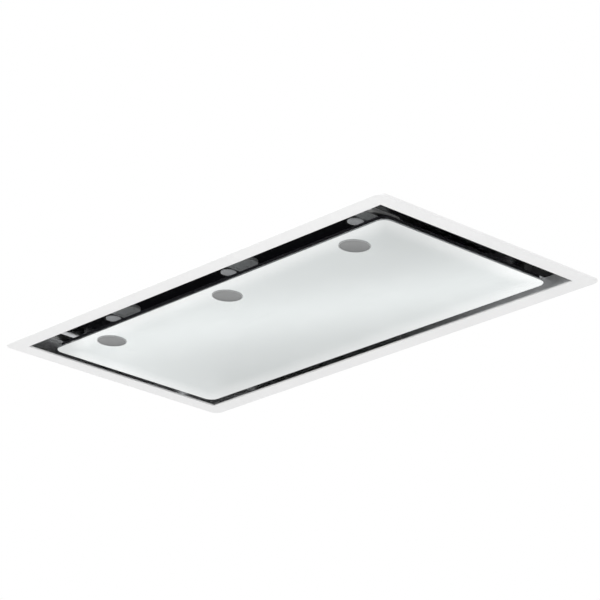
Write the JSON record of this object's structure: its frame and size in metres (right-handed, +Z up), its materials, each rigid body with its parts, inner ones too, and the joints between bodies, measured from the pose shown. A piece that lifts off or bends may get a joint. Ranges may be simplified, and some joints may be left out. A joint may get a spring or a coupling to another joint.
{
  "type": "ceiling range hood",
  "caption": "Built-in ceiling range hood: flat frame, mirror-polished recess and a hinged satin panel with downlights over a perimeter suction slot; filters, fan and duct outlet above.",
  "frame": {"origin": "centre of the ceiling cut-out, in the plane of the ceiling's lower surface", "axes": "+X along the long side, +Y from the panel's hinge side to its free side, +Z up into the ceiling void"},
  "size_m": [1, 0.5, 0.3078],
  "materials": {
    "frame_paint": "satin off-white paint",
    "seal_foam": "closed-cell foam",
    "polished_steel": "mirror-polished stainless steel",
    "zinc_sheet": "galvanised sheet with a faint spangle",
    "fastener_steel": "zinc-plated",
    "bracket_steel": "zinc-plated",
    "filter_aluminium": "anodised",
    "baffle_aluminium": "anodised",
    "latch_plastic": "moulded",
    "spring_steel": "drawn wire",
    "hinge_steel": "zinc-plated",
    "catch_plastic": "moulded",
    "magnet_steel": "nickel-plated",
    "inlet_plastic": "moulded",
    "scroll_plastic": "moulded",
    "wheel_steel": "galvanised",
    "hub_metal": "die cast",
    "shaft_steel": "ground steel",
    "motor_paint": "black paint",
    "bush_rubber": "moulded rubber",
    "collar_plastic": "moulded",
    "flap_plastic": "moulded",
    "board_laminate": "solder mask",
    "capacitor_case": "moulded",
    "gland_plastic": "moulded",
    "satin_steel": "satin, faintly streaked",
    "tray_paint": "black paint",
    "arm_metal": "plated",
    "dark_screw": "blackened",
    "bezel_metal": "satin",
    "frosted_lens": "frosted",
    "sink_aluminium": "die cast",
    "nut_plastic": "moulded",
    "driver_plastic": "moulded"
  },
  "bodies": {
    "root": {"ceiling_frame": "frame_paint", "ceiling_seal": "seal_foam", "recess_pan": "polished_steel", "plenum_walls": "zinc_sheet", "plenum_top": "zinc_sheet", "body_screws": "fastener_steel", "hanging_brackets": "bracket_steel", "filter_frame_left": "filter_aluminium", "filter_frame_middle": "filter_aluminium", "filter_frame_right": "filter_aluminium", "filter_baffles_left": "baffle_aluminium", "filter_baffles_middle": "baffle_aluminium", "filter_baffles_right": "baffle_aluminium", "latch_spring_left": "spring_steel", "latch_spring_middle": "spring_steel", "latch_spring_right": "spring_steel", "hinge_brackets": "hinge_steel", "hinge_pins": "hinge_steel", "catch_housings": "catch_plastic", "catch_magnets": "magnet_steel", "inlet_ring": "inlet_plastic", "scroll_floor": "scroll_plastic", "scroll_casing": "scroll_plastic", "scroll_lid": "scroll_plastic", "motor_body": "motor_paint", "motor_plate": "bracket_steel", "motor_end_cap": "motor_paint", "motor_bushes": "bush_rubber", "motor_bolts": "fastener_steel", "motor_housing": "zinc_sheet", "housing_lid": "zinc_sheet", "housing_screws": "fastener_steel", "outlet_collar": "collar_plastic", "outlet_spigot": "collar_plastic", "flap_pin": "shaft_steel", "electronics_box": "zinc_sheet", "electronics_cover": "zinc_sheet", "control_board": "board_laminate", "motor_capacitor": "capacitor_case", "cable_gland": "gland_plastic"},
    "panel": {"panel_skin": "satin_steel", "panel_tray": "tray_paint", "hinge_arms": "arm_metal", "arm_screws": "dark_screw", "strike_plates": "magnet_steel", "lamp_bezels": "bezel_metal", "lamp_lenses": "frosted_lens", "lamp_sinks": "sink_aluminium", "lamp_nuts": "nut_plastic", "lamp_drivers": "driver_plastic"},
    "left_latch": {"filter_latch_left": "latch_plastic"},
    "middle_latch": {"filter_latch_middle": "latch_plastic"},
    "right_latch": {"filter_latch_right": "latch_plastic"},
    "fan": {"wheel_shroud": "wheel_steel", "wheel_blades": "wheel_steel", "wheel_back": "wheel_steel", "wheel_hub": "hub_metal", "motor_shaft": "shaft_steel"},
    "left_flap": {"flap_left": "flap_plastic"},
    "right_flap": {"flap_right": "flap_plastic"}
  },
  "joints": [
    {"name": "panel_hinge", "type": "hinge", "parent": "root", "child": "panel", "pos_m": [0, -0.205, 0.012], "axis": [1, 0, 0], "range_deg": [-88, 0]},
    {"name": "left_latch_slide", "type": "slide", "parent": "root", "child": "left_latch", "axis": [0, 1, 0], "range_m": [0, 0.006], "stiffness_N_per_m": 350, "springref_m": -0.004, "deforming": ["latch_spring_left"]},
    {"name": "middle_latch_slide", "type": "slide", "parent": "root", "child": "middle_latch", "axis": [0, 1, 0], "range_m": [0, 0.006], "stiffness_N_per_m": 350, "springref_m": -0.004, "deforming": ["latch_spring_middle"]},
    {"name": "right_latch_slide", "type": "slide", "parent": "root", "child": "right_latch", "axis": [0, 1, 0], "range_m": [0, 0.006], "stiffness_N_per_m": 350, "springref_m": -0.004, "deforming": ["latch_spring_right"]},
    {"name": "fan_spin", "type": "hinge", "parent": "root", "child": "fan", "pos_m": [0, 0.021, 0.15], "axis": [0, 0, 1], "continuous": true},
    {"name": "left_flap_swing", "type": "hinge", "parent": "root", "child": "left_flap", "pos_m": [0.1848, -0.10733, 0.171], "axis": [0, 0, 1], "range_deg": [-72, 0]},
    {"name": "right_flap_swing", "type": "hinge", "parent": "root", "child": "right_flap", "pos_m": [0.1848, -0.10733, 0.171], "axis": [0, 0, 1], "range_deg": [0, 72]}
  ]
}
